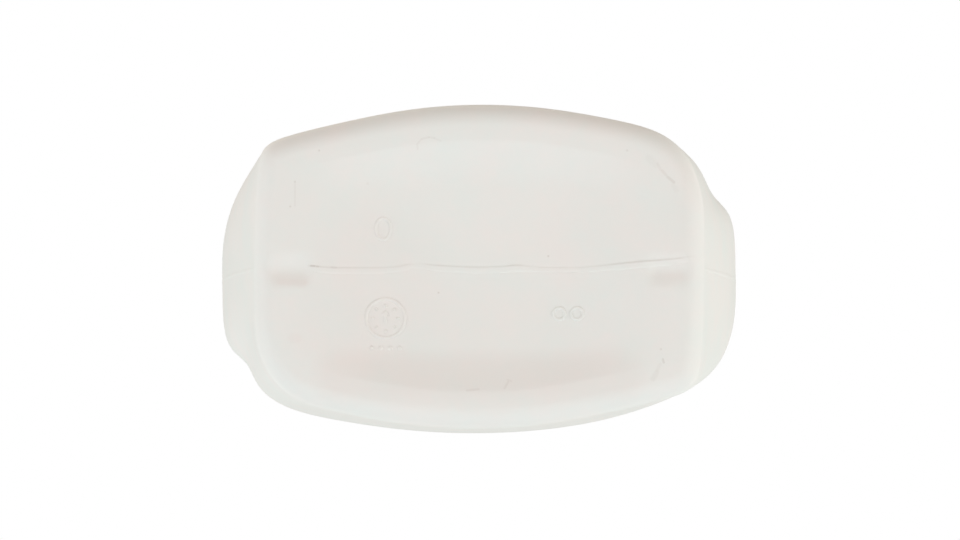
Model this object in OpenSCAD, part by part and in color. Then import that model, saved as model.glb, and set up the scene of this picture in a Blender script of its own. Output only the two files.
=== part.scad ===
// Shower gel bottle: a blow-moulded bottle with flared flanks, its gel, and a snap-on flip-top closure.
// The bottle stands on its base. The front faces -Y, and the lid is hinged at the back.

/* [Foot] */
// Width of the foot across its flat ends
foot_w = 57.6; // [52:0.2:62]
// Depth of the foot from front to back
foot_d = 41.6; // [38:0.2:46]
// Radius of the edge round the base
edge_r = 2.8; // [1.8:0.1:2.8]
// Height of the upright band between that edge and the flare of the flanks
band_h = 0.2; // [0.1:0.1:3]
// Width of the flat ring that the bottle stands on
ring_w = 1.7; // [1:0.1:3]
// Width of the slope up to the push-up at the ends of the base
slope_end = 5; // [3:0.5:7]
// Width of that slope at the front and back
slope_side = 6; // [4:0.2:8]
// Height of the push-up above the ring, at its rim
push_up = 1.2; // [0.6:0.1:2]
// Further rise of the push-up at its middle
crown = 0.4; // [0:0.1:1.2]
// Width of the groove that crosses the ring at each end of the pinch-off
groove_w = 5; // [3.6:0.2:6]
// Depth of that groove
groove_d = 0.45; // [0.2:0.05:0.6]
// How far that groove reaches inside the ring
groove_reach = 3.6; // [2:0.2:5]
// Length over which it fades at each of its ends
groove_fade = 2.2; // [1:0.1:3]
// How far its middle lies behind the middle of the base
groove_shift = 0.5; // [0:0.1:1]

/* [Body] */
// Width of the body across its flanks
body_w = 70; // [64:0.5:76]
// Depth of the body from front to back
body_d = 41.6; // [38:0.2:46]
// Height at which the flanks are widest
flank_h = 46; // [36:1:60]
// Height at which the shoulder starts
shoulder_h = 96; // [80:1:110]
// Height of the shoulder, up to the platform that the closure sits on
shoulder_rise = 28; // [20:1:40]
// Height of the upright edge of that platform
collar_edge = 1; // [0.6:0.1:2]
// Thickness of the blown wall
wall = 0.9; // [0.6:0.05:1.3]

/* [Neck] */
// Outside diameter of the neck
neck_d = 22; // [20:0.2:24]
// Diameter of the bore of the neck
bore_d = 18; // [15:0.2:19]
// Height of the neck above the platform
neck_h = 11; // [9:0.5:12]
// How far the snap bead stands out of the neck
bead = 0.7; // [0.4:0.05:0.9]
// Height of the middle of the snap bead above the platform
bead_h = 5; // [4:0.1:6]

/* [Closure] */
// Width of the closure
cap_w = 44; // [40:0.5:50]
// Depth of the closure
cap_d = 34; // [32:0.5:38]
// How far the closure's deck lies below the lid
deck_drop = 1.4; // [0.8:0.1:3]
// Height of the lid
lid_h = 12; // [9:0.5:16]
// Wall of the closure
cap_wall = 1.3; // [1.1:0.1:1.5]
// Radius of the rounded top edge of the lid
lid_r = 4; // [2:0.2:6]
// Rise of the middle of the lid above that edge
lid_crown = 0.8; // [0.2:0.1:1.5]
// Diameter of the orifice
orifice_d = 5; // [4:0.1:6]
// Outside diameter of the spout round the orifice
spout_d = 9; // [8.4:0.1:11]
// Height of the spout above the deck
spout_h = 2.4; // [1.5:0.1:3.5]
// Width of the hinge pocket at the back
hinge_w = 10; // [8:0.2:10.6]
// Depth of the hinge pocket
hinge_d = 0.5; // [0.4:0.05:0.6]
// Diameter of the film hinge
film_d = 0.7; // [0.5:0.05:0.9]
// How far the thumb lip stands out of the front of the lid
lip = 1.2; // [0.6:0.1:2]
// Radius of the thumb lip, seen from above
lip_r = 9; // [7:0.5:12]
// Depth of the scoop under the thumb lip
scoop_d = 0.6; // [0.3:0.05:0.7]

/* [Gel] */
// Height of the air between the gel and the underside of the platform
headspace = 10; // [4:0.5:16]

/* [Fits] */
// Gap between pieces that slip or swing past each other
clearance = 0.3; // [0.25:0.05:0.4]

/* [Hidden] */

bottle_color = "#e5e3dd";
cap_color = "#ebeae6";
gel_color = "#9fc4cf";

// An overrun for cuts and for joined solids
over = 0.2;

// Outlines are closed curves drawn through these shares of the half width and half depth. Each list is half
// of the turn, and the other half is the same points seen from the other side, because front and back match.
foot_shares = [
    [1.01, 0.02], [1.01, 0.30], [1, 0.54], [0.98, 0.745], [0.87, 0.81], [0.60, 0.90], [0.30, 0.985],
    [0, 1.012], [-0.30, 0.99], [-0.60, 0.915], [-0.82, 0.845], [-0.95, 0.68], [-1.01, 0.44], [-1.01, 0.20]
];
flank_shares = [
    [1, -0.06], [1.005, 0.18], [0.98, 0.425], [0.905, 0.645], [0.73, 0.795], [0.50, 0.92], [0.26, 0.985],
    [0, 1.01], [-0.28, 0.99], [-0.54, 0.925], [-0.755, 0.85], [-0.87, 0.71], [-0.895, 0.53], [-1, 0.45]
];
points_per_share = 3;

// Power of the rounded rectangle of the push-up, and of a plain oval
panel_power = 6;
oval_power = 2;
// Power of the slope up to the push-up, which is steepest beside the ring
slope_power = 1.5;
// Share of the base's length over which the push-up has its whole height, and share of it left at the ends
flat_share = 0.3;
end_share = 0.15;

// Share of the flank's size that is left where the shoulder starts
upper_shares = [0.985, 0.965];
// Angle through which the shoulder rolls over
shoulder_roll = 72;

foot_h = edge_r + band_h;
collar_h = shoulder_h + shoulder_rise;
fill_h = collar_h - 2 * wall - headspace;

foot_size = [foot_w, foot_d] / 2;
body_size = [body_w, body_d] / 2;
upper_size = [body_size.x * upper_shares.x, body_size.y * upper_shares.y];
cap_size = [cap_w, cap_d] / 2;

neck_r = neck_d / 2;
bore_r = bore_d / 2;

deck_h = collar_h + neck_h + clearance;
deck_top = deck_h + cap_wall;
parting_h = deck_top + deck_drop;
lid_bottom = parting_h + clearance;
lid_top = parting_h + lid_h;
lid_edge = lid_top - lid_crown;
hinge_y = cap_size.y - hinge_d;
hinge_z = parting_h + clearance / 2;
pocket_h = 4 * hinge_d;
bead_z = collar_h + bead_h;
skirt_r = neck_r + bead + clearance;
grip_r = neck_r + clearance;
plug_r = bore_r - clearance;
plug_h = 2 * cap_wall;
rim_h = cap_wall;
orifice_r = orifice_d / 2;
spout_top = deck_top + spout_h;
pin_r = orifice_r - clearance;
scoop_r = 2 * lip_r;

function mirrored(half) = concat(half, [for (p = half) -p]);

function on_curve(p, k, t) =
    let (n = len(p), a = p[k], b = p[(k + 1) % n], c = p[(k + 2) % n], d = p[(k + 3) % n])
    (pow(1 - t, 3) * a + (3 * pow(t, 3) - 6 * t * t + 4) * b
        + (-3 * pow(t, 3) + 3 * t * t + 3 * t + 1) * c + pow(t, 3) * d) / 6;

// The closed curve that a list of shares draws, at a size
function outline(shares, size) =
    let (p = mirrored(shares))
    [for (k = [0 : len(p) - 1]) for (i = [0 : points_per_share - 1])
        let (q = on_curve(p, k, i / points_per_share)) [q.x * size.x, q.y * size.y]];

// An oval, or a rounded rectangle where the power is high, with a point for each point of an outline
function oval(around, from, size, power) =
    [for (p = around)
        let (a = atan2(p.y / from.y, p.x / from.x), sum = pow(abs(cos(a)), power) + pow(abs(sin(a)), power))
        [cos(a) * size.x, sin(a) * size.y] / pow(sum, 1 / power)];

function blend(a, b, share) = [for (i = [0 : len(a) - 1]) a[i] + (b[i] - a[i]) * share];

// An outline moved inwards by a depth
function inset(p, depth) =
    let (n = len(p))
    [for (i = [0 : n - 1])
        let (along = p[(i + 1) % n] - p[(i + n - 1) % n])
        p[i] + depth * [-along.y, along.x] / norm(along)];

// An outline scaled until its half width and half depth are smaller by a depth
function shrunk(p, size, depth) = [for (q = p) [q.x * (1 - depth / size.x), q.y * (1 - depth / size.y)]];

function thinned(p, step) = [for (i = [0 : step : len(p) - 1]) p[i]];

function level(p, z) = [for (q = p) [q.x, q.y, z]];

function smooth(t) = let (u = min(1, max(0, t))) u * u * (3 - 2 * u);

function reversed(rings) = [for (i = [len(rings) - 1 : -1 : 0]) rings[i]];

// A closed solid through rings of equal length, whose ends close on their middles at these heights
module loft(rings, low, high) {
    n = len(rings[0]);
    last = len(rings) - 1;
    points = concat([for (r = rings) each r], [[0, 0, low], [0, 0, high]]);
    side = [for (k = [0 : last - 1]) for (i = [0 : n - 1])
        let (j = (i + 1) % n, a = k * n, b = a + n)
        each [[a + i, b + j, a + j], [a + i, b + i, b + j]]];
    start = [for (i = [0 : n - 1]) [len(points) - 2, i, (i + 1) % n]];
    end = [for (i = [0 : n - 1]) [len(points) - 1, last * n + (i + 1) % n, last * n + i]];
    polyhedron(points, concat(side, start, end));
}

foot_line = outline(foot_shares, foot_size);
flank_line = outline(flank_shares, body_size);
upper_line = outline(flank_shares, upper_size);
collar_line = oval(upper_line, upper_size, cap_size, oval_power);
cap_line = thinned(collar_line, 2);
ring_size = foot_size - [edge_r + ring_w, edge_r + ring_w];
ring_line = shrunk(foot_line, foot_size, edge_r + ring_w);
panel_size = ring_size - [slope_end, slope_side];
panel_line = oval(foot_line, foot_size, panel_size, panel_power);

// The push-up stands highest across the middle of the base and fades towards both ends
function vault(x) = 1 - (1 - end_share) * smooth((abs(x) / ring_size.x - flat_share) / (1 - flat_share));

// How deep the grooves at the ends of the pinch-off are at a point of the base
function groove(p) =
    let (x = abs(p.x), inner = ring_size.x - groove_reach, outer = foot_size.x - edge_r / 3)
    groove_d * smooth((x - inner) / groove_fade) * smooth((outer - x) / groove_fade)
        * smooth(1 - abs(2 * (p.y - groove_shift) / groove_w));

// An outline at a height, which the push-up's rise and the grooves lift
function raised(p, rise, z) = [for (q = p) [q.x, q.y, z + rise * vault(q.x) + groove(q)]];

// The outline at a share of the slope from the ring up to the push-up, and the rise that is reached there
function slope(share) = blend(ring_line, panel_line, share);
function slope_rise(share) = push_up * (1 - pow(1 - share, slope_power));

// The outside of the body at a height, between the foot and the widest point of the flanks
function flank(z) = blend(foot_line, flank_line, sin(90 * (z - foot_h) / (flank_h - foot_h)));

// The outside of the shoulder at a share of its roll, and the height of a skin there
function shoulder(share) =
    blend(upper_line, collar_line, (1 - cos(shoulder_roll * share)) / (1 - cos(shoulder_roll)));
function skin_rise(depth) = shoulder_rise - collar_edge - depth;
function shoulder_z(share, depth) =
    shoulder_h + skin_rise(depth) * sin(shoulder_roll * share) / sin(shoulder_roll);

slope_steps = 3;
flank_steps = 9;
shoulder_steps = 7;
edge_steps = 3;
lid_steps = 4;
// Power that sets the rings of the flanks closer together near the foot
flank_spread = 1.3;

// Rings of a skin at a depth inside the outside of the blown wall, from the middle of the base upwards
function base(depth) = concat(
    [raised(panel_line / 2, push_up + crown * 3 / 4, depth)],
    [for (i = [slope_steps : -1 : 0]) raised(slope(i / slope_steps), slope_rise(i / slope_steps), depth)]
);

function edge(depth) = [for (i = [0 : edge_steps])
    let (a = 90 * i / edge_steps, r = edge_r - depth, p = inset(foot_line, depth + r * (1 - sin(a))))
    raised(p, 0, depth + r * (1 - cos(a)))];

function flanks(depth) = [for (i = [0 : flank_steps])
    let (z = foot_h + (flank_h - foot_h) * pow(i / flank_steps, flank_spread))
    level(inset(flank(z), depth), z)];

function shoulders(depth, last_share = 1) = [for (i = [0 : shoulder_steps])
    let (u = last_share * i / shoulder_steps)
    level(inset(shoulder(u), depth), shoulder_z(u, depth))];

function skin(depth) = concat(base(depth), edge(depth), flanks(depth), shoulders(depth));

function round_line(r) = oval(upper_line, upper_size, [r, r], oval_power);

// The blown shell goes up the outside, in under the neck and down the inside
module shell() {
    loft(concat(
        skin(0),
        [level(collar_line, collar_h), level(round_line(neck_r - over), collar_h)],
        [level(round_line(bore_r + over), collar_h), level(round_line(bore_r + over), collar_h - 2 * wall)],
        reversed(skin(wall))
    ), push_up + crown, push_up + crown + wall);
}

module neck() {
    rotate_extrude($fn = 96) polygon([
        [bore_r, collar_h - 2 * wall], [neck_r, collar_h - 2 * wall],
        [neck_r, bead_z - 2 * bead], [neck_r + bead, bead_z], [neck_r, bead_z + 2 * bead],
        [neck_r, collar_h + neck_h - bead], [neck_r - bead, collar_h + neck_h], [bore_r, collar_h + neck_h]
    ]);
}

module bottle() {
    color(bottle_color) {
        shell();
        neck();
    }
}

// The gel fills the bottle up to its level, a little clear of the wall
module gel() {
    gap = wall + clearance;
    fill_share = asin(sin(shoulder_roll) * (fill_h - shoulder_h) / skin_rise(gap)) / shoulder_roll;
    rings = concat(base(gap), edge(gap), flanks(gap), shoulders(gap, fill_share));
    color(gel_color) loft([for (r = rings) thinned(r, 2)], push_up + crown + gap, fill_h);
}

// The space inside the closure's outline at a depth, between two heights
module inside(depth, low, high) {
    line = inset(cap_line, depth);
    loft([level(line, low), level(line, high)], low, high);
}

module hinge_pocket() {
    translate([-hinge_w / 2, hinge_y, parting_h - pocket_h]) cube([hinge_w, hinge_d + over, 2 * pocket_h]);
}

// The skirt that snaps over the bead of the neck, and the plug that seals the neck's bore
module neck_fit() {
    root = deck_h + cap_wall / 2;
    rotate_extrude($fn = 96) polygon([
        [skirt_r, root], [skirt_r, bead_z - bead], [grip_r, bead_z - 2.5 * bead], [grip_r, bead_z - 3 * bead],
        [skirt_r + cap_wall, bead_z - 3 * bead], [skirt_r + cap_wall, root]
    ]);
    rotate_extrude($fn = 96) polygon([
        [plug_r - cap_wall, root], [plug_r - cap_wall, deck_h - plug_h],
        [plug_r - clearance, deck_h - plug_h], [plug_r, deck_h - plug_h / 2], [plug_r, root]
    ]);
}

module spout() {
    root = deck_top - cap_wall / 2;
    rotate_extrude($fn = 64) polygon([
        [orifice_r, root], [spout_d / 2, root], [spout_d / 2, spout_top - cap_wall],
        [orifice_r + cap_wall / 2, spout_top], [orifice_r, spout_top]
    ]);
}

module cap_base() {
    color(cap_color) {
        difference() {
            inside(0, collar_h, parting_h);
            inside(cap_wall, collar_h - over, deck_h);
            inside(cap_wall, deck_top, parting_h + over);
            translate([0, 0, deck_h - over]) cylinder(r = orifice_r, h = cap_wall + 2 * over, $fn = 64);
            translate([0, scoop_d - cap_size.y - scoop_r, parting_h]) sphere(r = scoop_r, $fn = 96);
            hinge_pocket();
        }
        // The rim inside the lid
        difference() {
            inside(cap_wall + clearance, deck_top - cap_wall / 2, parting_h + rim_h);
            inside(2 * cap_wall + clearance, deck_top - cap_wall, parting_h + rim_h + over);
        }
        neck_fit();
        spout();
        // The film of the hinge
        translate([clearance - hinge_w / 2, hinge_y, hinge_z])
            rotate([0, 90, 0]) cylinder(d = film_d, h = hinge_w - 2 * clearance, $fn = 32);
    }
}

// The lid's outside or inside: a wall, a rounded edge of this radius and a low crown
module dome(depth, low) {
    line = inset(cap_line, depth);
    r = lid_r - depth;
    top = inset(line, r);
    rounding = [for (i = [0 : lid_steps]) let (a = 90 * i / lid_steps)
        level(inset(line, r * (1 - cos(a))), lid_edge - depth - r * (1 - sin(a)))];
    loft(concat([level(line, low)], rounding, [level(top / 2, lid_edge - depth + lid_crown * 3 / 4)]),
        low, lid_top - depth);
}

module cap_lid() {
    color(cap_color) {
        difference() {
            union() {
                dome(0, lid_bottom);
                // The lip that a thumb lifts
                translate([0, lip_r - lip - cap_size.y, lid_bottom])
                    cylinder(r = lip_r, h = 2 * cap_wall, $fn = 96);
            }
            dome(cap_wall, lid_bottom - over);
            hinge_pocket();
            translate([-hinge_w / 2 - over, hinge_y, hinge_z])
                rotate([0, 90, 0]) cylinder(r = film_d / 2 + clearance, h = hinge_w + 2 * over, $fn = 32);
        }
        // The pin that closes the orifice
        translate([0, 0, deck_top]) cylinder(r1 = pin_r - clearance, r2 = pin_r, h = spout_h, $fn = 64);
        translate([0, 0, spout_top]) cylinder(r = pin_r, h = lid_top - cap_wall / 2 - spout_top, $fn = 64);
    }
}

bottle();
gel();
cap_base();
cap_lid();
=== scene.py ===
import math

import bpy
import numpy as np
from mathutils import Matrix, Vector
from mathutils.bvhtree import BVHTree


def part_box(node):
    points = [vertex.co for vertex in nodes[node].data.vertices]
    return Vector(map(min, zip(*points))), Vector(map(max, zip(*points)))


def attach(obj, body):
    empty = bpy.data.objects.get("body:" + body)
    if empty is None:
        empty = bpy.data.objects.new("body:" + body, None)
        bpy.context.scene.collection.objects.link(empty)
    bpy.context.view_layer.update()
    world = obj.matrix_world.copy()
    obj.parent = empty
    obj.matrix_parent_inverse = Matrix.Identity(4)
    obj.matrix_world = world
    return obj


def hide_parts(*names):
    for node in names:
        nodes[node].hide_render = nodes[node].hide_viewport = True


mm = 0.001
turn = 2 * math.pi
bpy.context.scene.view_settings.view_transform = "Standard"

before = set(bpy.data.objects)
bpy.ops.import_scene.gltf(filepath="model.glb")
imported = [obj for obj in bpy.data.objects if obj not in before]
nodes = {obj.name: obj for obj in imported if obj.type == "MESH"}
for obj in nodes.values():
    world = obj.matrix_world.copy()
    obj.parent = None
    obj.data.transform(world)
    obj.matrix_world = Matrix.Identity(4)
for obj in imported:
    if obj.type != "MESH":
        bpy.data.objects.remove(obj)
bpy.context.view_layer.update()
print("frame loaded:", ", ".join(sorted(nodes)))


# Trees of nodes, written as sums
class Wire:
    def __init__(self, tree, socket):
        self.tree, self.socket = tree, socket

    def maths(self, operation, a, b=0.0):
        return self.tree.add("ShaderNodeMath", {"operation": operation}, {0: a, 1: b})

    def __add__(self, other):
        return self.maths("ADD", self, other)

    def __radd__(self, other):
        return self.maths("ADD", other, self)

    def __sub__(self, other):
        return self.maths("SUBTRACT", self, other)

    def __rsub__(self, other):
        return self.maths("SUBTRACT", other, self)

    def __mul__(self, other):
        return self.maths("MULTIPLY", self, other)

    def __truediv__(self, other):
        return self.maths("DIVIDE", self, other)

    def kept(self):  # held between 0 and 1
        return self.tree.add("ShaderNodeClamp", {}, {"Value": self})


class Tree:
    def __init__(self, nodeTree):
        self.tree = nodeTree

    def add(self, kind, settings=None, sockets=None, out=0):
        node = self.tree.nodes.new(kind)
        for name, value in (settings or {}).items():
            if name == "stops":
                setStops(node.color_ramp, value)
            else:
                setattr(node, name, value)
        for key, value in (sockets or {}).items():
            plug = node.inputs[key] if isinstance(key, int) else openSocket(node.inputs, key)
            if isinstance(value, Wire):
                self.tree.links.new(value.socket, plug)
            else:
                plug.default_value = value
        return Wire(self, node.outputs[out] if isinstance(out, int) else openSocket(node.outputs, out))


def openSocket(sockets, name):
    return [s for s in sockets if s.name == name and s.enabled][0]


def setStops(ramp, stops):
    while len(ramp.elements) < len(stops):
        ramp.elements.new(0.5)
    for element, (place, color) in zip(ramp.elements, stops):
        element.position, element.color = place, (*color, 1)


def screen(red, green, blue):  # a colour as it is read off a screen, made linear
    return tuple(((c / 255 + 0.055) / 1.055) ** 2.4 for c in (red, green, blue))


def tinted(tree, share, a, b):
    a, b = [c if isinstance(c, Wire) else (*c, 1) for c in (a, b)]
    return tree.add("ShaderNodeMix", {"data_type": "RGBA"}, {"Factor": share, "A": a, "B": b}, "Result")


def clouds(tree, place, size, detail=2.0, stretch=(1, 1, 1), shift=0.0):  # size is one cloud's width
    moved = tree.add("ShaderNodeMapping", {}, {"Vector": place, "Location": (shift,) * 3, "Scale": stretch})
    return tree.add("ShaderNodeTexNoise", {}, {"Vector": moved, "Scale": 1 / size, "Detail": detail})


# 1 inside a soft stroke on the base, 0 past its edge
def stroke(tree, place, x, y, length, width, angle=0.0, crisp=1.8):
    def vectors(operation, a, b=(0, 0, 0), out=0):
        return tree.add("ShaderNodeVectorMath", {"operation": operation}, {0: a, 1: b}, out)

    local = vectors("SUBTRACT", place, (x * mm, y * mm, 0))
    turned = tree.add("ShaderNodeVectorRotate", {"rotation_type": "Z_AXIS"}, {
        "Vector": local, "Angle": -math.radians(angle)})
    flat = vectors("ABSOLUTE", vectors("MULTIPLY", turned, (1, 1, 0)))
    past = vectors("MAXIMUM", vectors("SUBTRACT", flat, ((length - width) / 2 * mm, 0, 0)))
    return ((1 - vectors("LENGTH", past, out="Value") * (2 / (width * mm))) * crisp).kept()


def curved(tree, share, stops):  # a number that follows stops of (share, value)
    node = tree.tree.nodes.new("ShaderNodeFloatCurve")
    curve = node.mapping.curves[0]
    for place, value in stops[1:-1]:
        curve.points.new(place, value)
    for point, (place, value) in zip(curve.points, stops):
        point.location = (place, value)
    node.mapping.update()
    tree.tree.links.new(share.socket, node.inputs["Value"])
    return Wire(tree, node.outputs[0])


def newMaterial(name, look):
    made = bpy.data.materials.new(name)
    made.use_nodes = True
    shader = made.node_tree.nodes["Principled BSDF"]
    for key, value in look["shader"].items():
        shader.inputs[key].default_value = value
    made.diffuse_color = (*look["tint"], 1)
    return made, Tree(made.node_tree), shader


def feed(tree, shader, wires):
    for name, wire in wires.items():
        tree.tree.links.new(wire.socket, shader.inputs[name])


def newGroup(name, inputs):  # a tree of geometry nodes with named inputs, and the wires that leave them
    group = bpy.data.node_groups.new(name, "GeometryNodeTree")
    group.interface.new_socket("Geometry", in_out="INPUT", socket_type="NodeSocketGeometry")
    for key, kind in inputs.items():
        group.interface.new_socket(key, in_out="INPUT", socket_type="NodeSocket" + kind)
    group.interface.new_socket("Geometry", in_out="OUTPUT", socket_type="NodeSocketGeometry")
    tree = Tree(group)
    start = group.nodes.new("NodeGroupInput")
    return group, tree, {socket.name: Wire(tree, socket) for socket in start.outputs if socket.name}


def endGroup(tree, geometry, material):
    real = tree.add("GeometryNodeRealizeInstances", {}, {"Geometry": geometry})
    dressed = tree.add("GeometryNodeSetMaterial", {}, {"Geometry": real, "Material": material})
    end = tree.tree.nodes.new("NodeGroupOutput")
    tree.tree.links.new(dressed.socket, end.inputs[0])


def grown(name, mesh, group, values):  # the tree's result on a mesh, kept as a plain mesh
    seed = newPiece(name, mesh)
    modifier = seed.modifiers.new("grow", "NODES")
    modifier.node_group = group
    for item in group.interface.items_tree:
        if item.in_out == "INPUT" and item.name in values:
            modifier[item.identifier] = values[item.name]
    ready = seed.evaluated_get(bpy.context.evaluated_depsgraph_get())
    made = bpy.data.meshes.new_from_object(ready)
    bpy.data.objects.remove(seed)
    made.name = name
    return made


# Camera, below the bottle and looking up at its base
shot = {
    "frame": (960, 540),
    "baseMiddle": (479, 265.7),  # pixel where the middle of the base lands
    "pixel": 0.128 * mm,  # what a pixel covers at the base
    "distance": 650 * mm,
    "behind": 30 * mm,  # how far the camera stands towards the bottle's back
    "sensor": 36, "clip": (0.01, 20),
}


def makeCamera(s):
    data = bpy.data.cameras.new("camera")
    camera = bpy.data.objects.new("camera", data)
    bpy.context.scene.collection.objects.link(camera)
    data.sensor_width = s["sensor"]
    data.lens = s["distance"] / (s["frame"][0] * s["pixel"]) * s["sensor"]
    data.clip_start, data.clip_end = s["clip"]
    aim = Vector([(f / 2 - b) * s["pixel"] for f, b in zip(s["frame"], s["baseMiddle"])] + [0])
    camera.location = (0, s["behind"], -s["distance"])
    look = (aim - camera.location).normalized()
    up = Vector((1, 0, 0)).cross(look).normalized()  # the front is at the top of the picture
    side = look.cross(up)
    camera.rotation_mode = "QUATERNION"
    camera.rotation_quaternion = Matrix((side, up, -look)).transposed().to_quaternion()
    bpy.context.scene.camera = camera


makeCamera(shot)
print("camera placed")


# The blown bottle's form, in millimetres, as the solid has it
bottleForm = {
    "footWidth": 57.6, "footDepth": 41.6, "edgeRadius": 2.8, "bandHeight": 0.2, "ringWidth": 1.7,
    "slopeEnd": 5, "slopeSide": 6, "slopePower": 1.5, "ringBlend": 0.08,
    "pushUp": 1.2, "crown": 0.4, "flatShare": 0.3, "endShare": 0.15,
    "grooveWidth": 5, "grooveDepth": 0.45, "grooveReach": 3.6, "grooveFade": 2.2, "grooveShift": 0.5,
    "bodyWidth": 70, "bodyDepth": 41.6, "flankHeight": 46, "shoulderHeight": 96, "collarEdge": 1,
    "wall": 0.9, "neckWidth": 22, "boreWidth": 18, "bead": 0.7, "beadHeight": 5,
    "upperShares": (0.985, 0.965), "shoulderRoll": 72, "panelPower": 6, "flankSpread": 1.3,
    "footShares": [
        (1.01, 0.02), (1.01, 0.30), (1, 0.54), (0.98, 0.745), (0.87, 0.81), (0.60, 0.90), (0.30, 0.985),
        (0, 1.012), (-0.30, 0.99), (-0.60, 0.915), (-0.82, 0.845), (-0.95, 0.68), (-1.01, 0.44), (-1.01, 0.20),
    ],
    "flankShares": [
        (1, -0.06), (1.005, 0.18), (0.98, 0.425), (0.905, 0.645), (0.73, 0.795), (0.50, 0.92), (0.26, 0.985),
        (0, 1.01), (-0.28, 0.99), (-0.54, 0.925), (-0.755, 0.85), (-0.87, 0.71), (-0.895, 0.53), (-1, 0.45),
    ],
    "collarFoot": [(0, -0.25), (0.08, -0.07), (0.25, 0)],  # how far in and how high over the platform
    "neckFoot": [(0.5, 0), (0.1, 0.1), (0, 0.4)],  # how far out from the neck and how high
    "boreEase": 0.2,
    "pointsPerShare": 12, "neckRings": 9, "lipRings": 5,
    "rings": {"panel": 13, "slope": 24, "edge": 16, "flank": 48, "side": 12, "shoulder": 36},
    "middleShare": 0.03,  # the first ring round the middle of the base
    "innerStep": 3,  # the inside of the wall has a third of the rings
}


def closedCurve(shares, size, perShare):  # half a turn of shares, and the same half turned round
    p = np.array(shares, float)
    p = np.vstack([p, -p])
    a, b, c, d = (np.roll(p, -k, axis=0)[:, None, :] for k in range(4))
    t = (np.arange(perShare) / perShare)[None, :, None]
    q = (1 - t) ** 3 * a + (3 * t**3 - 6 * t * t + 4) * b + (-3 * t**3 + 3 * t * t + 3 * t + 1) * c + t**3 * d
    return q.reshape(-1, 2) / 6 * size


def anglesOf(line, size):
    return np.arctan2(line[:, 1] / size[1], line[:, 0] / size[0])


def oval(angles, size, power=2):
    c, s = np.cos(angles), np.sin(angles)
    reach = (np.abs(c) ** power + np.abs(s) ** power) ** (1 / power)
    return np.c_[c * size[0], s * size[1]] / reach[:, None]


def inset(line, depth):
    along = np.roll(line, -1, axis=0) - np.roll(line, 1, axis=0)
    return line + depth * np.c_[-along[:, 1], along[:, 0]] / np.linalg.norm(along, axis=1)[:, None]


def level(line, z):
    return np.c_[line, np.broadcast_to(z, len(line))]


def smoothStep(t):
    t = np.clip(t, 0, 1)
    return t * t * (3 - 2 * t)


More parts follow.
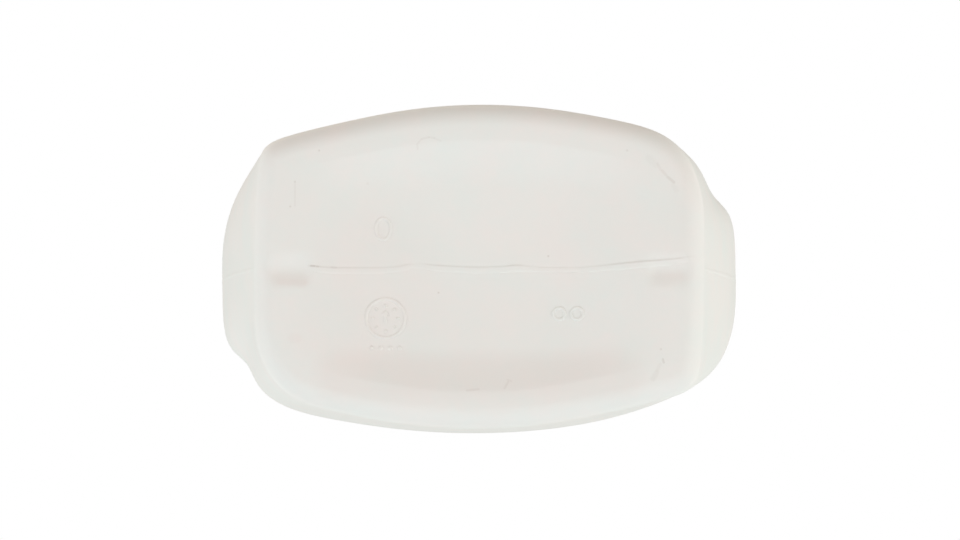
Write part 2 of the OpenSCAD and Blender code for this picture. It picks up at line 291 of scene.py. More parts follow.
class BottleShape:
    def __init__(self, form):
        f = self.form = form
        self.foot = np.array([f["footWidth"], f["footDepth"]]) / 2
        self.body = np.array([f["bodyWidth"], f["bodyDepth"]]) / 2
        self.upper = self.body * f["upperShares"]
        capLow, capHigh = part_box("cap_base")
        self.cap = np.array([(capHigh.x - capLow.x) / 2, -capLow.y]) / mm
        self.platform = capLow.z / mm
        self.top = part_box("bottle")[1].z / mm
        self.footHeight = f["edgeRadius"] + f["bandHeight"]
        self.footLine = closedCurve(f["footShares"], self.foot, f["pointsPerShare"])
        self.flankLine = closedCurve(f["flankShares"], self.body, f["pointsPerShare"])
        self.upperLine = closedCurve(f["flankShares"], self.upper, f["pointsPerShare"])
        self.angles = anglesOf(self.upperLine, self.upper)
        self.collarLine = oval(self.angles, self.cap)
        self.ring = self.foot - (f["edgeRadius"] + f["ringWidth"])
        self.ringLine = self.footLine * self.ring / self.foot
        panel = self.ring - [f["slopeEnd"], f["slopeSide"]]
        self.panelLine = oval(anglesOf(self.footLine, self.foot), panel, f["panelPower"])

    def vault(self, line):  # the push-up stands highest across the middle and fades towards both ends
        f = self.form
        reach = np.abs(line[:, 0]) / self.ring[0]
        return 1 - (1 - f["endShare"]) * smoothStep((reach - f["flatShare"]) / (1 - f["flatShare"]))

    def groove(self, line):  # how deep the grooves at the ends of the pinch-off are
        f = self.form
        x, fade = np.abs(line[:, 0]), f["grooveFade"]
        inner, outer = self.ring[0] - f["grooveReach"], self.foot[0] - f["edgeRadius"] / 3
        along = smoothStep((x - inner) / fade) * smoothStep((outer - x) / fade)
        aside = 2 * (line[:, 1] - f["grooveShift"]) / f["grooveWidth"]
        return f["grooveDepth"] * along * smoothStep(1 - np.abs(aside))

    def raised(self, line, rise, z):
        return level(line, z + rise * self.vault(line) + self.groove(line))

    def baseRings(self, depth, steps=1):
        f = self.form
        made = []
        for s in [f["middleShare"], *np.linspace(0, 1, f["rings"]["panel"] // steps)[1:]]:
            made.append(self.raised(self.panelLine * s, f["pushUp"] + f["crown"] * (1 - s * s), depth))
        for u in np.linspace(1, 0, f["rings"]["slope"] // steps)[1:]:
            line = self.ringLine + (self.panelLine - self.ringLine) * u
            soft = (1 + f["ringBlend"]) * u * u / (u + f["ringBlend"])
            made.append(self.raised(line, f["pushUp"] * (1 - (1 - soft) ** f["slopePower"]), depth))
        return made

    def edgeRings(self, depth, steps=1):
        f = self.form
        r = f["edgeRadius"] - depth
        made = []
        for a in np.linspace(0, turn / 4, f["rings"]["edge"] // steps):
            line = inset(self.footLine, depth + r * (1 - math.sin(a)))
            made.append(self.raised(line, 0, depth + r * (1 - math.cos(a))))
        return made

    def flankRings(self, depth, steps=1):
        f = self.form
        made = []
        for i in np.linspace(0, 1, f["rings"]["flank"] // steps):
            share = i ** f["flankSpread"]
            z = self.footHeight + (f["flankHeight"] - self.footHeight) * share
            line = self.footLine + (self.flankLine - self.footLine) * math.sin(turn / 4 * share)
            made.append(level(inset(line, depth), z))
        for i in np.linspace(0, 1, f["rings"]["side"] // steps)[1:-1]:
            line = self.flankLine + (self.upperLine - self.flankLine) * i
            made.append(level(inset(line, depth), f["flankHeight"] + (f["shoulderHeight"] - f["flankHeight"]) * i))
        return made

    def shoulderRings(self, depth, steps=1):
        f = self.form
        roll = math.radians(f["shoulderRoll"])
        rise = self.platform - f["shoulderHeight"] - f["collarEdge"] - depth
        made = []
        for s in np.linspace(0, 1, f["rings"]["shoulder"] // steps):
            share = (1 - math.cos(roll * s)) / (1 - math.cos(roll))
            line = self.upperLine + (self.collarLine - self.upperLine) * share
            made.append(level(inset(line, depth), f["shoulderHeight"] + rise * math.sin(roll * s) / math.sin(roll)))
        return made

    def skin(self, depth, steps=1):
        return (self.baseRings(depth, steps) + self.edgeRings(depth, steps)
                + self.flankRings(depth, steps) + self.shoulderRings(depth, steps))

    def roundRing(self, radius, z):
        return level(oval(self.angles, (radius, radius)), z)

    def neckRings(self):
        f = self.form
        neck, bore, bead, low = f["neckWidth"] / 2, f["boreWidth"] / 2, f["bead"], self.platform
        middle = low + f["beadHeight"]
        made = [level(inset(self.collarLine, depth), low + rise) for depth, rise in f["collarFoot"]]
        made += [self.roundRing(neck + out, low + rise) for out, rise in f["neckFoot"]]
        for a in np.linspace(-1, 1, f["neckRings"]):
            made.append(self.roundRing(neck + bead * (1 + math.cos(a * turn / 2)) / 2, middle + 2 * bead * a))
        for a in np.linspace(0, turn / 4, f["lipRings"]):
            made.append(self.roundRing(neck - bead * (1 - math.cos(a)), self.top - bead * (1 - math.sin(a))))
        made += [self.roundRing(bore + f["boreEase"], self.top), self.roundRing(bore, self.top - f["boreEase"])]
        return made + [self.roundRing(bore, low - 2 * f["wall"])]


def meshOf(name, rings, low, high):  # rings run up the outside; low and high close the ends on a middle point
    n = len(rings[0])
    points = np.vstack(rings + [[[0, 0, low]], [[0, 0, high]]]) * mm
    i = np.arange(n)
    j = (i + 1) % n
    faces = []
    for k in range(len(rings) - 1):
        a, b = k * n, (k + 1) * n
        faces += np.c_[a + i, a + j, b + j, b + i].tolist()
    start, end = len(points) - 2, len(points) - 1
    last = (len(rings) - 1) * n
    faces += [[start, int(q), int(p)] for p, q in zip(i, j)]
    faces += [[end, int(last + p), int(last + q)] for p, q in zip(i, j)]
    mesh = bpy.data.meshes.new(name)
    mesh.from_pydata(points.tolist(), [], faces)
    mesh.update()
    return mesh


def newPiece(name, mesh, material=None, crease=None):
    piece = bpy.data.objects.new(name, mesh)
    bpy.context.scene.collection.objects.link(piece)
    if material:
        mesh.materials.clear()
        mesh.materials.append(material)
    mesh.shade_smooth()
    if crease:
        mesh.set_sharp_from_angle(angle=math.radians(crease))
    return piece


shape = BottleShape(bottleForm)


def makeBottle(material):
    f = bottleForm
    rings = shape.skin(0) + shape.neckRings() + shape.skin(f["wall"], f["innerStep"])[::-1]
    top = f["pushUp"] + f["crown"]
    mesh = meshOf("bottleShell", rings, top, top + f["wall"])
    print("bottle:", len(mesh.polygons), "faces")
    return newPiece("bottleShell", mesh, material)


# White polyethylene, satin from the mould
bottleLook = {
    "tint": screen(232, 233, 231),
    "warm": screen(233, 232, 229),
    "cool": screen(228, 233, 230),
    "patch": 7 * mm, "patchContrast": 2.2, "fleck": 1.1 * mm, "fleckContrast": 0.7, "grain": 0.35 * mm,
    "shader": {"IOR": 1.5, "Specular IOR Level": 0.3}, "rough": 0.44, "roughPatches": 0.12,
    "bump": 0.1, "bumpDepth": 0.05 * mm, "fleckBump": 2,
    "marksTop": 4,  # millimetres up to which the base is marked
    # The brown of the stains also paints the shade along the pinch-off
    "dirtAndShade": screen(114, 82, 44), "blushAndShade": screen(226, 216, 212),
    "dirtSpots": [  # middle x and y, length, width, angle, strength
        (-20.5, -14.8, 0.36, 0.36, 0, 0.14), (-23.6, -10.8, 0.32, 0.32, 0, 0.12),
        (-24.2, -7.6, 0.36, 0.36, 0, 0.13), (-5.2, 3.4, 0.36, 0.36, 0, 0.15),
        (8.9, -1.3, 0.36, 0.36, 0, 0.17), (19.0, -14.8, 0.4, 0.36, 0, 0.1),
        (23.3, 10.7, 0.4, 0.4, 0, 0.11), (23.6, 12.2, 0.8, 0.4, 75, 0.13), (-14.3, -10.6, 0.5, 0.5, 0, 0.05),
        (22.5, 14.1, 1.8, 0.9, -60, 0.05), (23.0, 13.0, 1.4, 0.6, -65, 0.04), (-23.6, -9.2, 3.3, 0.3, 90, 0.055),
        (-0.8, 15.9, 1.9, 0.4, -6, 0.07), (3.5, 15.3, 1.3, 0.4, -60, 0.07), (3.9, 14.7, 0.9, 0.4, 20, 0.05),
        (-7.9, -15.3, 1.0, 0.35, 85, 0.05), (-7.6, -16.0, 1.0, 0.35, -48, 0.05),
        (-6.85, -16.4, 1.2, 0.35, -13, 0.06), (-6.05, -16.45, 1.0, 0.35, 8, 0.05), (-5.3, -16.2, 1.2, 0.35, 24, 0.04),
        (23.1, -12.7, 1.3, 0.5, 65, 0.05), (23.75, -11.9, 1.2, 0.5, 48, 0.08), (24.6, -11.05, 1.5, 0.5, 40, 0.12),
        (25.1, -10.0, 1.5, 0.8, 60, 0.03), (22.2, -13.4, 2.4, 1.2, 45, 0.03), (-21.3, 0.02, 0.8, 0.35, 5, 0.14),
        (-20.7, 0.08, 0.5, 0.3, 5, 0.1), (-18.6, 0.2, 0.9, 0.35, 5, 0.06),
    ],
    # Pinkish grey spots, given as middle x and y, length, width, angle, strength: broad patches of tone, painted
    # shade in the long band on the push-up's back slope, and painted shade in the grooves at both ends of the
    # pinch-off
    "blushAndShadeSpots": [
        (-13, 1.5, 22, 26, 0, 0.13), (-18, 8, 16, 14, 0, 0.06), (0, 14.2, 44, 8, 0, 0.22),
        (26.5, -6, 8, 20, 0, 0.15), (-23.6, 9.3, 2.2, 1.6, 0, 0.15), (-24.2, 1.9, 5.4, 2.4, 3, 0.18),
        (-24, 2.1, 4.2, 1.1, 3, 0.14), (24.3, 1.2, 5.2, 2.2, 3, 0.08), (24.3, 1.3, 4, 1, 3, 0.07),
    ],
    # The dark line along the pinch-off, painted shade at the foot of its steep front in the brown of the stains:
    # places along the base, how far back it lies, and its strength
    "crackShadeWidth": 0.36, "crackShadeLeast": 0.45, "crackShadeFlecks": 0.65,
    "crackShadeFrom": -22, "crackShadeTo": 28, "crackShadeBack": -1.5, "crackShadeFront": 0.5,
    "crackShade": [
        (-22, 0, 0), (-21.4, 0, 0.16), (-20.6, 0.1, 0.12), (-18.3, 0.23, 0.08), (-15.2, 0.23, 0.06),
        (-12.2, 0.2, 0.05), (-10.6, 0.1, 0.07), (-9.1, -0.28, 0.03), (-8.3, -0.47, 0), (-7.55, -0.41, 0.01),
        (-6.0, -0.15, 0.1), (-2.9, 0.04, 0.08), (0.1, 0.17, 0.1), (3.2, 0.04, 0.07), (4.7, -0.12, 0.12),
        (6.3, -0.05, 0.05), (9.3, 0.17, 0.02), (12.4, 0.17, 0.03), (15.5, -0.03, 0.06), (18.6, -0.35, 0.16),
        (21.6, -0.6, 0.2), (24.7, -0.86, 0.17), (27, -1.18, 0.05), (28, -1.3, 0),
    ],
}


def bottlePlastic(look):
    made, tree, shader = newMaterial("bottlePlastic", look)
    place = tree.add("ShaderNodeTexCoord", out="Object")
    patches = clouds(tree, place, look["patch"], 3)
    flecks = clouds(tree, place, look["fleck"], 2, shift=3)
    grain = clouds(tree, place, look["grain"], 1, shift=5)
    share = ((patches - 0.5) * look["patchContrast"] + (flecks - 0.5) * look["fleckContrast"] + 0.5).kept()
    parts = tree.add("ShaderNodeSeparateXYZ", {}, {0: place}).socket.node.outputs
    x, y, z = (Wire(tree, part) / mm for part in parts)
    under = (look["marksTop"] - z).kept()
    blushAndShade = sum((stroke(tree, place, *spot) * strength for *spot, strength in look["blushAndShadeSpots"]), 0.0)
    dirtAndShade = sum((stroke(tree, place, *spot) * strength for *spot, strength in look["dirtSpots"]), 0.0)
    first, last, back, front = (look[key] for key in ("crackShadeFrom", "crackShadeTo", "crackShadeBack", "crackShadeFront"))
    along = (x - first) / (last - first)
    stops = [((a - first) / (last - first), (b - back) / (front - back), c) for a, b, c in look["crackShade"]]
    bend = curved(tree, along, [stop[:2] for stop in stops]) * (front - back) + back
    depth = curved(tree, along, [(stop[0], stop[2]) for stop in stops])
    aside = y - bend
    aside = aside.maths("ABSOLUTE", aside)
    # Painted shade in a thin line along the foot of the pinch-off's steep front
    crackShade = (1 - aside * (2 / look["crackShadeWidth"])).kept() * depth
    crackShade = crackShade * (look["crackShadeLeast"] + flecks * look["crackShadeFlecks"])
    color = tinted(tree, share, look["cool"], look["warm"])
    # Pinkish tone in broad patches, and painted shade on the push-up's back slope and in the grooves
    color = tinted(tree, (blushAndShade * under).kept(), color, look["blushAndShade"])
    # Brown stains, and the painted shade along the pinch-off
    color = tinted(tree, ((dirtAndShade + crackShade) * under).kept(), color, look["dirtAndShade"])
    feed(tree, shader, {
        "Base Color": color,
        "Roughness": look["rough"] + patches * look["roughPatches"],
        "Normal": tree.add("ShaderNodeBump", {}, {
            "Strength": look["bump"], "Distance": look["bumpDepth"], "Height": grain + flecks * look["fleckBump"]}),
    })
    return made


plastic = bottlePlastic(bottleLook)
bottleShell = makeBottle(plastic)
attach(bottleShell, "bottle")
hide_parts("bottle")


# Raised lines are beads half sunk in the skin, drawn along paths that carry the skin's outward direction
def beadTree():
    group, tree, given = newGroup("beadAlongPath", {
        "Width": "Float", "Height": "Float", "Flat": "Float", "Lean": "Float",
        "Sides": "Int", "Material": "Material"})
    outward = tree.add("GeometryNodeInputNamedAttribute", {"data_type": "FLOAT_VECTOR"}, {"Name": "outward"})
    girth = tree.add("GeometryNodeInputNamedAttribute", {"data_type": "FLOAT"}, {"Name": "girth"})
    line = tree.add("GeometryNodeMeshToCurve", {}, {"Mesh": given["Geometry"]})
    line = tree.add("GeometryNodeSetCurveNormal", {"mode": "FREE"}, {"Curve": line, "Normal": outward})
    ring = tree.add("GeometryNodeCurvePrimitiveCircle", {}, {"Resolution": given["Sides"], "Radius": 1.0})
    spot = tree.add("GeometryNodeInputPosition")
    parts = tree.add("ShaderNodeSeparateXYZ", {}, {0: spot}).socket.node.outputs
    up, across = Wire(tree, parts[0]), Wire(tree, parts[1])
    up = up * given["Flat"]
    up = up.maths("MINIMUM", up, 1.0)
    shaped = tree.add("ShaderNodeCombineXYZ", {}, {
        "X": up * given["Height"], "Y": across * given["Width"] * 0.5 + up * given["Lean"]})
    ring = tree.add("GeometryNodeSetPosition", {}, {"Geometry": ring, "Position": shaped})
    bead = tree.add("GeometryNodeCurveToMesh", {}, {
        "Curve": line, "Profile Curve": ring, "Scale": girth, "Fill Caps": True})
    endGroup(tree, bead, given["Material"])
    return group


# Dots are flat beads on points of the skin
def dotTree(segments=20, rings=10):
    group, tree, given = newGroup("dotsOnPoints", {"Width": "Float", "Height": "Float", "Material": "Material"})
    outward = tree.add("GeometryNodeInputNamedAttribute", {"data_type": "FLOAT_VECTOR"}, {"Name": "outward"})
    points = tree.add("GeometryNodeMeshToPoints", {}, {"Mesh": given["Geometry"]})
    dot = tree.add("GeometryNodeMeshUVSphere", {}, {"Segments": segments, "Rings": rings, "Radius": 1.0})
    size = tree.add("ShaderNodeCombineXYZ", {}, {
        "X": given["Width"] * 0.5, "Y": given["Width"] * 0.5, "Z": given["Height"] * 1.0})
    upright = tree.add("FunctionNodeAlignRotationToVector", {"axis": "Z"}, {"Vector": outward})
    dots = tree.add("GeometryNodeInstanceOnPoints", {}, {
        "Points": points, "Instance": dot, "Rotation": upright, "Scale": size})
    endGroup(tree, dots, given["Material"])
    return group


def treeOf(piece):
    mesh = piece.data
    return BVHTree.FromPolygons([v.co for v in mesh.vertices], [p.vertices for p in mesh.polygons])


skin = treeOf(bottleShell)
beads, dots = beadTree(), dotTree()


def seated(starts, ways):  # where rays land on the skin, in metres, and which way the skin faces there
    found = [skin.ray_cast(Vector(start) * mm, Vector(way)) for start, way in zip(starts, ways)]
    return [hit[:2] for hit in found if hit[0] is not None]


def onBase(line, below=10):
    return seated([(x, y, -below) for x, y in line], [(0, 0, 1)] * len(line))


def pathMesh(name, lines):  # each line is its seated points, their girths, and whether it closes on itself
    places, outward, girths, edges = [], [], [], []
    for line, girth, closed in lines:
        first = len(places)
        places += [place for place, normal in line]
        outward += [c for place, normal in line for c in normal]
        girths += list(girth)
        edges += [(k, k + 1) for k in range(first, len(places) - 1)]
        if closed:
            edges.append((len(places) - 1, first))
    mesh = bpy.data.meshes.new(name)
    mesh.from_pydata(places, edges, [])
    mesh.attributes.new("outward", "FLOAT_VECTOR", "POINT").data.foreach_set("vector", outward)
    mesh.attributes.new("girth", "FLOAT", "POINT").data.foreach_set("value", girths)
    return mesh


def beadPiece(name, lines, look, body, material, crease=50):
    mesh = grown(name, pathMesh(name, lines), beads, {
        "Width": look["width"] * mm, "Height": look["height"] * mm, "Flat": look.get("flat", 1.0),
        "Lean": look.get("lean", 0.0) * mm, "Sides": look["sides"], "Material": material})
    piece = newPiece(name, mesh, crease=crease)
    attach(piece, body)


def tapered(count, fade, least=0.05):  # girths that grow over a share of the line at each end
    t = np.linspace(0, 1, count)
    return least + (1 - least) * smoothStep(np.minimum(t, 1 - t) / fade)


# The pinch-off, where the mould closed on the soft tube: its crest, steep in front and gentle behind
pinchOff = {
    "width": 0.8, "height": 0.042, "flat": 1.5, "lean": -0.08, "sides": 20, "step": 0.25, "soft": 3, "shift": 0.36,
    "crest": [  # places along the base, and the girth there
        (-21.4, 0.0, 0.4), (-20.8, 0.1, 0.9), (-18.3, 0.25, 1.05), (-15.2, 0.25, 1.0), (-12.2, 0.2, 0.9),
        (-10.4, 0.0, 0.9), (-9.1, -0.3, 0.75), (-8.2, -0.45, 0.6), (-7.2, -0.4, 0.7), (-6.0, -0.15, 0.9),
        (-2.9, 0.05, 1.0), (0.1, 0.15, 1.05), (3.2, 0.05, 1.0), (4.9, -0.15, 1.1), (6.3, 0.0, 0.8),
        (9.3, 0.15, 0.8), (12.4, 0.15, 0.75), (15.5, -0.05, 0.8), (18.6, -0.35, 1.05), (21.6, -0.6, 1.15),
        (24.7, -0.85, 1.0), (26.4, -1.05, 0.6), (27.4, -1.2, 0.1),
    ],
}


def makePinchOff(p):
    x, y, girth = np.array(p["crest"]).T
    along = np.arange(x[0], x[-1], p["step"])
    bend = np.interp(along, x, y)
    span = 2 * p["soft"] + 1
    soft = np.convolve(np.pad(bend, p["soft"], mode="edge"), np.ones(span) / span, mode="valid")
    line = onBase(np.c_[along, soft + p["shift"]])
    beadPiece("pinchOff", [(line, np.interp(along, x, girth), False)], p, "bottle", plastic)


# The parting lines, where the halves of the mould met on both flanks
partingLines = {
    "width": 0.5, "height": 0.035, "sides": 12, "points": 240, "middle": 70, "behind": 0.3, "fade": 0.03,
    "low": 0.5, "lowReach": 27.2, "high": 123.2, "highReach": 22, "outside": 100,
}


def makePartingLines(p):
    lines = []
    first = math.atan2(p["low"] - p["middle"], p["lowReach"])
    last = math.atan2(p["high"] - p["middle"], p["highReach"])
    for side in (-1, 1):
        ways = [Vector((side * math.cos(a), 0, math.sin(a))) for a in np.linspace(first, last, p["points"])]
        starts = [Vector((0, p["behind"], p["middle"])) + way * p["outside"] for way in ways]
        line = seated(starts, [-way for way in ways])
        lines.append((line, tapered(len(line), p["fade"]), False))
    beadPiece("partingLines", lines, p, "bottle", plastic)


# Plain raised marks of the mould: a dial with its pointer, two rings, an oval and a row of dots
mouldMarks = {
    "width": 0.42, "height": 0.09, "flat": 1.2, "sides": 12,
    "dial": (-12.0, 6.7), "dialRadius": 2.5, "ticks": 8, "tickIn": 1.4, "tickOut": 1.85,
    "pointer": [(0, 0.75), (0, -0.75)], "pointerHead": [(-0.45, -0.35), (0, -0.85), (0.45, -0.35)],
    "rings": [  # middle and half sizes
        (10.3, 6.1, 0.75, 0.75), (12.6, 6.1, 0.75, 0.75), (-12.3, -4.8, 0.95, 1.35),
    ],
    "dialPoints": 96, "ringPoints": 48, "rodPoints": 6, "rodLeast": 0.3, "rodMore": 0.6, "rodFade": 0.2,
    "dots": [(-13.8, 10.5), (-12.6, 10.5), (-11.4, 10.5), (-10.2, 10.5)],
    "dotWidth": 0.62, "dotHeight": 0.1,
}


def makeMouldMarks(m):
    def loop(x, y, a, b, count=m["ringPoints"]):
        t = np.arange(count) / count * turn
        return onBase(np.c_[x + a * np.cos(t), y + b * np.sin(t)]), np.ones(count), True

    def rod(points):
        p = np.array(points) + m["dial"]
        share = np.linspace(0, len(p) - 1, m["rodPoints"] * (len(p) - 1) + 1)
        line = np.c_[np.interp(share, range(len(p)), p[:, 0]), np.interp(share, range(len(p)), p[:, 1])]
        return onBase(line), m["rodLeast"] + m["rodMore"] * tapered(len(line), m["rodFade"]), False

    lines = [loop(*m["dial"], m["dialRadius"], m["dialRadius"], m["dialPoints"])]
    lines += [loop(*ring) for ring in m["rings"]]
    for k in range(m["ticks"]):
        way = np.array([math.cos(turn * k / m["ticks"]), math.sin(turn * k / m["ticks"])])
        lines.append(rod([way * m["tickIn"], way * m["tickOut"]]))
    lines += [rod(m["pointer"]), rod(m["pointerHead"])]
    beadPiece("mouldMarks", lines, m, "bottle", plastic)
    row = onBase(m["dots"])
    mesh = grown("mouldDots", pathMesh("mouldDots", [([spot], [1], False) for spot in row]), dots, {
        "Width": m["dotWidth"] * mm, "Height": m["dotHeight"] * mm, "Material": plastic})
    piece = newPiece("mouldDots", mesh)
    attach(piece, "bottle")


makePinchOff(pinchOff)
makePartingLines(partingLines)
makeMouldMarks(mouldMarks)
print("pinch-off, parting lines and marks raised")


# Polypropylene of the closure, smoother than the bottle
capLook = {
    "tint": screen(236, 235, 231), "warm": screen(237, 235, 230), "cool": screen(233, 234, 231),
    "patch": 16 * mm, "grain": 0.5 * mm, "bump": 0.05, "bumpDepth": 0.05 * mm,
    "shader": {"IOR": 1.49, "Specular IOR Level": 0.45}, "rough": 0.26, "roughPatches": 0.08,
}


def capPlastic(look):
    made, tree, shader = newMaterial("capPlastic", look)
    place = tree.add("ShaderNodeTexCoord", out="Object")
    patches = clouds(tree, place, look["patch"], 2, shift=7)
    grain = clouds(tree, place, look["grain"], 1, shift=9)
    feed(tree, shader, {
        "Base Color": tinted(tree, patches, look["cool"], look["warm"]),
        "Roughness": look["rough"] + patches * look["roughPatches"],
        "Normal": tree.add("ShaderNodeBump", {}, {
            "Strength": look["bump"], "Distance": look["bumpDepth"], "Height": grain}),
    })
    return made


# The closure, in millimetres, as the solids have it
closureForm = {
    "neckHeight": 11, "deckDrop": 1.4, "lidHeight": 12, "wall": 1.3, "lidRadius": 4, "lidCrown": 0.8,
    "orifice": 5, "spout": 9, "spoutHeight": 2.4, "hingeWidth": 10, "hingeDepth": 0.5, "film": 0.7,
    "lip": 1.2, "lipRadius": 9, "lipTop": 0.9, "lipFade": 1.1, "scoop": 0.6, "gap": 0.3,
    "edge": 0.22, "columns": 288,  # the rounding of its edges, and points round each ring
    "ledgeSpan": 3, "sideFoot": 0.3, "step": 0.02, "tuck": 0.12, "pocketSide": 0.2, "pinFoot": 0.1,
    "rows": {
        "side": 10, "ledge": 10, "pocket": 8, "edge": 5, "inside": 12, "dome": 18,
        "lidFoot": 8, "lidLedge": 6, "lidSide": 16, "film": 9,
    },
    "filmSides": 24,
}


def eased(path, radius, room=2.1, near=0.3, corner=0.6, far=0.1):  # a path whose inner corners are rounded
    p = [np.array(q, float) for q in path]
    made = [p[0]]
    for a, b, c in zip(p, p[1:], p[2:]):
        before, after = np.linalg.norm(a - b), np.linalg.norm(c - b)
        r = min(radius, before / room, after / room)
        start, end = b + (a - b) * r / before, b + (c - b) * r / after
        made += [start, start * near + b * corner + end * far, start * far + b * corner + end * near, end]
    return made + [p[-1]]


class ClosureShape:
    def __init__(self, form, neck):
        f = self.form = form
        self.low = shape.platform
        self.deck = self.low + f["neckHeight"] + f["gap"]
        self.deckTop = self.deck + f["wall"]
        self.parting = self.deckTop + f["deckDrop"]
        self.lidBottom = self.parting + f["gap"]
        self.lidTop = self.parting + f["lidHeight"]
        self.lidEdge = self.lidTop - f["lidCrown"]
        self.spoutTop = self.deckTop + f["spoutHeight"]
        self.hingeY = shape.cap[1] - f["hingeDepth"]
        self.hingeZ = self.parting + f["gap"] / 2
        self.pocket = 4 * f["hingeDepth"]
        self.beadZ = self.low + neck["beadHeight"]
        self.bead = neck["bead"]
        self.skirt = neck["neckWidth"] / 2 + neck["bead"] + f["gap"]
        self.grip = neck["neckWidth"] / 2 + f["gap"]
        self.plug = neck["boreWidth"] / 2 - f["gap"]
        self.pin = f["orifice"] / 2 - f["gap"]
        self.turns = np.arange(f["columns"]) / f["columns"] * turn
        self.outline = oval(self.turns, shape.cap)

    def ovals(self, path):
        return [level(inset(self.outline, depth), z) for depth, z in path]

    def rounds(self, path):
        return [level(oval(self.turns, (r, r)), z) for r, z in path]

    def dished(self, ring):  # the scoop for the thumb in the front, and the hinge's pocket at the back
        f = self.form
        x, y, z = ring.T.copy()
        reach = 2 * f["lipRadius"]
        room = reach**2 - x**2 - (z - self.parting) ** 2
        dish = f["scoop"] - shape.cap[1] - reach + np.sqrt(np.maximum(room, 0))
        y = np.where(room > 0, np.maximum(y, dish), y)
        back = (np.abs(x) < f["hingeWidth"] / 2) & (z > self.parting - self.pocket) & (y > 0)
        return np.c_[x, np.where(back, np.minimum(y, self.hingeY), y), z]

    def lipped(self, ring):  # the lip in the front of the lid, and its pocket and groove at the hinge
        f = self.form
        x, y, z = ring.T.copy()
        top = self.lidBottom + 2 * f["wall"]
        share = 1 - smoothStep((z - top + f["lipTop"]) / f["lipFade"])
        front = f["lipRadius"] - f["lip"] - shape.cap[1] - np.sqrt(np.maximum(f["lipRadius"] ** 2 - x**2, 0))
        y = np.where((y < 0) & (np.abs(x) < f["lipRadius"]), y + np.minimum(front - y, 0) * share, y)
        half = f["hingeWidth"] / 2 + f["pocketSide"]
        back = (np.abs(x) < half) & (z < self.parting + self.pocket) & (y > 0)
        room = (f["film"] / 2 + f["gap"]) ** 2 - (z - self.hingeZ) ** 2
        return np.c_[x, np.where(back, np.minimum(y, self.hingeY - np.sqrt(np.maximum(room, 0))), y), z]

    def baseRings(self):
        f = self.form
        w, gap, edge, rows = f["wall"], f["gap"], f["edge"], f["rows"]
        rim, ledge = self.parting + w, self.parting - self.pocket
        bend = ledge - f["ledgeSpan"]
        heights = [*np.linspace(self.low, bend, rows["side"])[1:],
                   *np.linspace(bend, ledge - f["step"], rows["ledge"])[1:],
                   *np.linspace(ledge, self.parting - edge, rows["pocket"])]
        rings = self.ovals(eased([(w / 2, self.low), (0, self.low), (0, self.low + 2 * edge)], edge))
        rings += self.ovals([(0, z) for z in heights if z > self.low + 2 * edge])
        rings += self.ovals([(edge * (1 - math.cos(a)), self.parting - edge * (1 - math.sin(a)))
                             for a in np.linspace(0, turn / 4, rows["edge"])[1:]])
        rings = [self.dished(ring) for ring in rings]
        rings += self.ovals(eased([
            (w - 2 * edge, self.parting), (w, self.parting), (w, self.deckTop), (w + gap, self.deckTop),
            (w + gap, rim), (2 * w + gap, rim), (2 * w + gap, self.deckTop),
            (2 * w + 3 * gap, self.deckTop)], edge))
        bore, out = f["orifice"] / 2, f["spout"] / 2
        rings += self.rounds(eased([
            (out + w, self.deckTop), (out, self.deckTop), (out, self.spoutTop - w), (bore + w / 2, self.spoutTop),
            (bore, self.spoutTop), (bore, self.deck), (self.plug - w, self.deck),
            (self.plug - w, self.deck - 2 * w), (self.plug - gap, self.deck - 2 * w),
            (self.plug, self.deck - w), (self.plug, self.deck), (self.skirt, self.deck),
            (self.skirt, self.beadZ - self.bead), (self.grip, self.beadZ - 2.5 * self.bead),
            (self.grip, self.beadZ - 3 * self.bead), (self.skirt + w, self.beadZ - 3 * self.bead),
            (self.skirt + w, self.deck), (self.skirt + 1.3 * w, self.deck)], edge))
        rings += self.ovals(eased([
            (1.2 * w, self.deck), (w, self.deck), (w, self.low), (w / 2 + edge, self.low)], edge))
        return rings

    def domeRings(self, depth, steps):  # from the side's top over the rounded edge and the crown to the middle
        f = self.form
        r = f["lidRadius"] - depth
        side = self.lidEdge - depth
        made = [level(inset(self.outline, depth + r * (1 - math.cos(a))), side - r * (1 - math.sin(a)))
                for a in np.linspace(0, turn / 4, steps)]
        top = inset(self.outline, f["lidRadius"])
        for s in np.linspace(1, 0, steps)[1:-1]:
            made.append(level(top * s, side + f["lidCrown"] * (1 - s * s)))
        return made

    def lidRings(self):
        f = self.form
        w, edge, rows = f["wall"], f["edge"], f["rows"]
        foot = self.lidEdge - f["lidRadius"] - f["sideFoot"]
        rings = self.rounds(eased([
            (self.pin / 2, self.deckTop), (self.pin - f["gap"], self.deckTop), (self.pin, self.spoutTop),
            (self.pin, self.lidTop - w - 2 * edge)], edge))
        rings += self.rounds([
            (self.pin + f["pinFoot"], self.lidTop - w - edge), (self.pin + edge, self.lidTop - w - f["step"])])
        dome = self.domeRings(w, rows["inside"])[::-1]
        rings += [ring for ring in dome if np.abs(ring[:, 1]).max() > self.pin + 2 * edge]
        rings += self.ovals(eased([(w, foot), (w, self.lidBottom), (w / 2, self.lidBottom)], edge))
        groove = self.hingeZ + f["film"] / 2 + f["gap"]
        ledge = self.parting + self.pocket
        heights = [*np.linspace(self.lidBottom + 2 * f["step"], groove, rows["lidFoot"]),
                   *np.linspace(groove, ledge - f["step"], rows["lidLedge"])[1:],
                   *np.linspace(ledge, foot, rows["lidSide"])]
        outside = self.ovals([(f["tuck"], self.lidBottom)] + [(0, z) for z in heights])
        return rings + [self.lipped(ring) for ring in outside] + self.domeRings(0, rows["dome"])


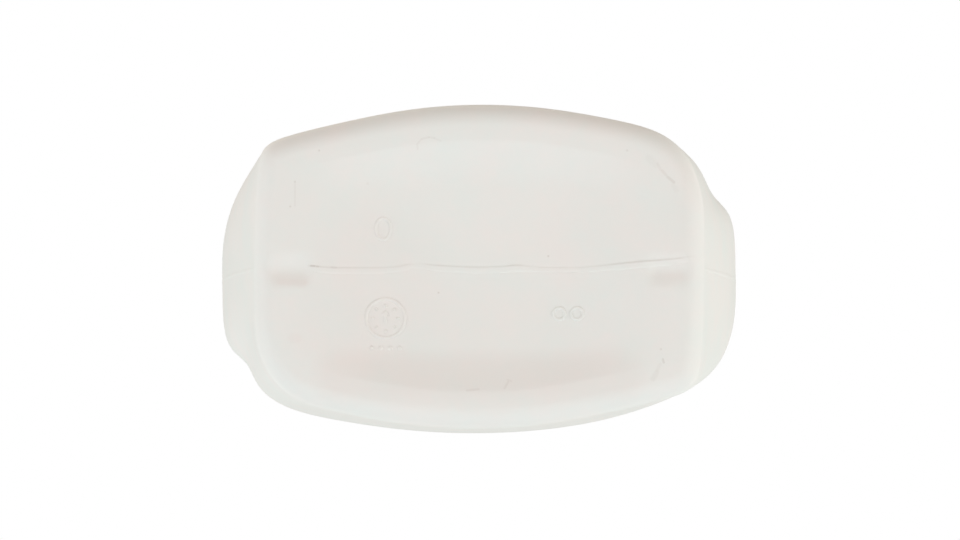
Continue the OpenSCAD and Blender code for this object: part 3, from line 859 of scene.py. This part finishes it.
def loopMesh(name, rings):  # rings all the way round a section, so that the last meets the first
    n, count = len(rings[0]), len(rings)
    i = np.arange(n)
    j = (i + 1) % n
    faces = []
    for k in range(count):
        a, b = k * n, (k + 1) % count * n
        faces += np.c_[a + i, a + j, b + j, b + i].tolist()
    mesh = bpy.data.meshes.new(name)
    mesh.from_pydata((np.vstack(rings) * mm).tolist(), [], faces)
    mesh.update()
    return mesh


def makeClosure(form):
    c = ClosureShape(form, bottleForm)
    material = capPlastic(capLook)
    base = newPiece("capBase", loopMesh("capBase", c.baseRings()), material, 40)
    lid = newPiece("capLid", meshOf("capLid", c.lidRings(), c.deckTop, c.lidTop), material, 40)
    for piece, body, node in ((base, "bottle", "cap_base"), (lid, "lid", "cap_lid")):
        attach(piece, body)
        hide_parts(node)
    reach = form["hingeWidth"] / 2 - form["gap"]
    line = [(Vector((x, c.hingeY, c.hingeZ)) * mm, Vector((0, 1, 0)))
            for x in np.linspace(-reach, reach, form["rows"]["film"])]
    film = {"width": form["film"], "height": form["film"] / 2, "sides": form["filmSides"]}
    beadPiece("hingeFilm", [(line, np.ones(len(line)), False)], film, "bottle", material)


makeClosure(closureForm)
print("closure made")


# The gel, clear blue, seen only where the bottle is opened
gelLook = {
    "tint": (0.35, 0.58, 0.66), "pale": (0.42, 0.64, 0.71), "patch": 20 * mm, "patchShare": 0.7,
    "bubble": 1.6 * mm, "bubbleReach": 0.25, "bubbleShare": 2,
    "shader": {"Roughness": 0.12, "IOR": 1.38},
}


def gelMaterial(look):
    made, tree, shader = newMaterial("gel", look)
    place = tree.add("ShaderNodeTexCoord", out="Object")
    patches = clouds(tree, place, look["patch"], 2)
    bubbles = tree.add("ShaderNodeTexVoronoi", {}, {"Vector": place, "Scale": 1 / look["bubble"]}, "Distance")
    share = (patches * look["patchShare"] + (look["bubbleReach"] - bubbles).kept() * look["bubbleShare"]).kept()
    feed(tree, shader, {"Base Color": tinted(tree, share, look["tint"], look["pale"])})
    return made


gel = nodes["gel"]
gel.data.materials.clear()
gel.data.materials.append(gelMaterial(gelLook))
print("gel coloured")


# Floor, lamps and world
studio = {
    "floorRadius": 1.4, "floorSides": 96, "floorDrop": 0.00005, "floorTint": (0.9, 0.9, 0.9),
    "floorGlow": 0.1, "fadeFrom": 0.3, "fadeTo": 0.9,  # the floor turns white between these distances
    # The world's light from below: from the sides, from between them, from the front and from behind
    "sides": (0.84, 0.84, 0.88), "middle": (0.26, 0.31, 0.37),
    "front": (0.6, 0.23, 0.0), "behind": (0.26, 0.25, 0.24),
    # Its light from above, in front and behind
    "above": (0.34, 0.33, 0.31), "aboveBehind": (0.9, 0.89, 0.86),
    # How fast these change into each other: the front, behind above, and across the horizon
    "frontFade": (1.3, 1.2), "behindFade": 1.5, "horizonFade": (2.5, 1.5),
    "aim": (0, 0, 0.06),
    "lamps": [  # place, size across, watts, colour
        ((-1.0, 0.1, -0.55), 0.9, 8, (1, 0.995, 0.985)),
        ((1.0, 0.1, -0.55), 0.9, 8.8, (1, 0.98, 0.94)),
        ((-0.35, -1.2, 0.9), 1.5, 7.3, (1, 0.95, 0.88)),
        ((1.0, -0.6, 0.9), 0.9, 1.4, (1, 0.99, 0.97)),
        ((0.0, 1.0, 1.0), 1.4, 3, (1, 0.98, 0.95)),
    ],
}


def makeFloor(s):
    bpy.ops.mesh.primitive_circle_add(vertices=s["floorSides"], radius=s["floorRadius"], fill_type="NGON")
    floor = bpy.context.object
    floor.name = "floor"
    floor.location.z = -s["floorDrop"]
    look = bpy.data.materials.new("floor")
    look.use_nodes = True
    tree = Tree(look.node_tree)
    for node in list(look.node_tree.nodes):
        if node.type == "BSDF_PRINCIPLED":
            look.node_tree.nodes.remove(node)
    matt = tree.add("ShaderNodeBsdfDiffuse", {}, {"Color": (*s["floorTint"], 1)})
    place = tree.add("ShaderNodeTexCoord", out="Object")
    away = tree.add("ShaderNodeVectorMath", {"operation": "LENGTH"}, {0: place}, "Value")
    fade = ((away - s["fadeFrom"]) / (s["fadeTo"] - s["fadeFrom"])).kept()
    seen = tree.add("ShaderNodeLightPath", out="Is Camera Ray")
    pale = tree.add("ShaderNodeEmission", {}, {"Color": (1, 1, 1, 1), "Strength": seen * (fade + s["floorGlow"])})
    matt = tree.add("ShaderNodeAddShader", {}, {0: matt, 1: pale})
    clear = tree.add("ShaderNodeBsdfTransparent")
    under = tree.add("ShaderNodeNewGeometry", out="Backfacing")
    mixed = tree.add("ShaderNodeMixShader", {}, {0: under, 1: matt, 2: clear})
    look.node_tree.links.new(mixed.socket, look.node_tree.nodes["Material Output"].inputs["Surface"])
    floor.data.materials.append(look)
    floor.visible_shadow = False
    floor.visible_diffuse = False


def makeWorld(s):
    world = bpy.data.worlds.new("studio")
    bpy.context.scene.world = world
    world.use_nodes = True
    tree = Tree(world.node_tree)
    background = world.node_tree.nodes["Background"]
    way = tree.add("ShaderNodeTexCoord", out="Generated")
    parts = tree.add("ShaderNodeSeparateXYZ", {}, {0: way}).socket.node.outputs
    across, back, up = (Wire(tree, part) for part in parts)
    light = tinted(tree, across * across, s["middle"], s["sides"])
    slope, lift = s["frontFade"]
    light = tinted(tree, (back * slope + lift).kept(), s["front"], light)
    light = tinted(tree, back.kept(), light, s["behind"])
    over = tinted(tree, (back * s["behindFade"]).kept(), s["above"], s["aboveBehind"])
    slope, lift = s["horizonFade"]
    light = tinted(tree, (up * slope + lift).kept(), light, over)
    seen = tree.add("ShaderNodeLightPath", out="Is Camera Ray")
    light = tinted(tree, seen, light, (1, 1, 1))
    world.node_tree.links.new(light.socket, background.inputs["Color"])


def makeLamps(s):
    for k, (place, across, watts, color) in enumerate(s["lamps"]):
        data = bpy.data.lights.new(f"lamp{k}", "AREA")
        data.shape, data.size, data.energy, data.color = "DISK", across, watts, color
        lamp = bpy.data.objects.new(f"lamp{k}", data)
        bpy.context.scene.collection.objects.link(lamp)
        lamp.location = place
        aim = Vector(s["aim"]) - lamp.location
        lamp.rotation_euler = aim.to_track_quat("-Z", "Y").to_euler()


makeFloor(studio)
makeWorld(studio)
makeLamps(studio)
print("studio lit")
